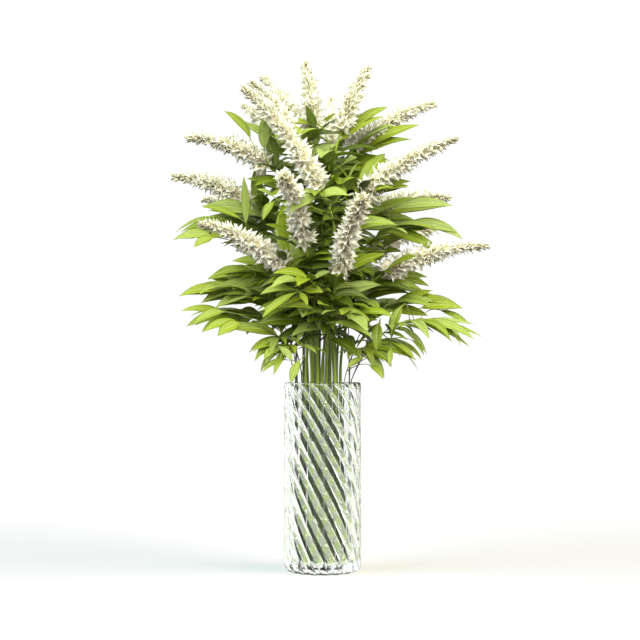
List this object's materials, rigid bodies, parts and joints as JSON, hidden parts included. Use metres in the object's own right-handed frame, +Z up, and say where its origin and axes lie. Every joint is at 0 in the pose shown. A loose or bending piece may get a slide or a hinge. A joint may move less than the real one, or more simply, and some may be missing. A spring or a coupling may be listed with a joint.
{
  "type": "bouquet of flower spikes in a glass vase",
  "caption": "Bouquet of white bell-flower spikes and lance-shaped leaves on cut stems, standing in a tall clear glass cylinder vase with spiral flutes.",
  "frame": {"origin": "centre of the vase's flat foot, on the surface it stands on", "axes": "+Z up along the vase's axis, -Y towards the bouquet's front, +X to the right seen from the front"},
  "size_m": [0.507, 0.5087, 0.813],
  "materials": {
    "glass": "clear, polished, pressed in spiral flutes",
    "leaf": "satin fresh leaf, yellow-green, paler below",
    "bell": "matte white petals with cream throats"
  },
  "bodies": {
    "root": {"vase": "glass", "spike_01_bells": "bell", "spike_01_stem": "leaf", "spike_02_bells": "bell", "spike_02_stem": "leaf", "spike_03_bells": "bell", "spike_03_stem": "leaf", "spike_04_bells": "bell", "spike_04_stem": "leaf", "spike_05_bells": "bell", "spike_05_stem": "leaf", "spike_06_bells": "bell", "spike_06_stem": "leaf", "spike_07_bells": "bell", "spike_07_stem": "leaf", "spike_08_bells": "bell", "spike_08_stem": "leaf", "spike_09_bells": "bell", "spike_09_stem": "leaf", "spike_10_bells": "bell", "spike_10_stem": "leaf", "spike_11_bells": "bell", "spike_11_stem": "leaf", "spike_12_bells": "bell", "spike_12_stem": "leaf", "spike_13_bells": "bell", "spike_13_stem": "leaf", "spike_14_bells": "bell", "spike_14_stem": "leaf", "spike_15_bells": "bell", "spike_15_stem": "leaf", "spike_16_bells": "bell", "spike_16_stem": "leaf", "spike_17_bells": "bell", "spike_17_stem": "leaf", "spike_18_bells": "bell", "spike_18_stem": "leaf", "spike_19_bells": "bell", "spike_19_stem": "leaf", "spike_20_bells": "bell", "spike_20_stem": "leaf", "shoot_01": "leaf", "shoot_02": "leaf", "shoot_03": "leaf", "shoot_04": "leaf", "shoot_05": "leaf", "shoot_06": "leaf", "shoot_07": "leaf", "shoot_08": "leaf", "shoot_09": "leaf", "shoot_10": "leaf", "shoot_11": "leaf", "shoot_12": "leaf", "shoot_13": "leaf", "shoot_14": "leaf", "shoot_15": "leaf", "shoot_16": "leaf", "shoot_17": "leaf", "shoot_18": "leaf", "shoot_19": "leaf"}
  },
  "joints": []
}
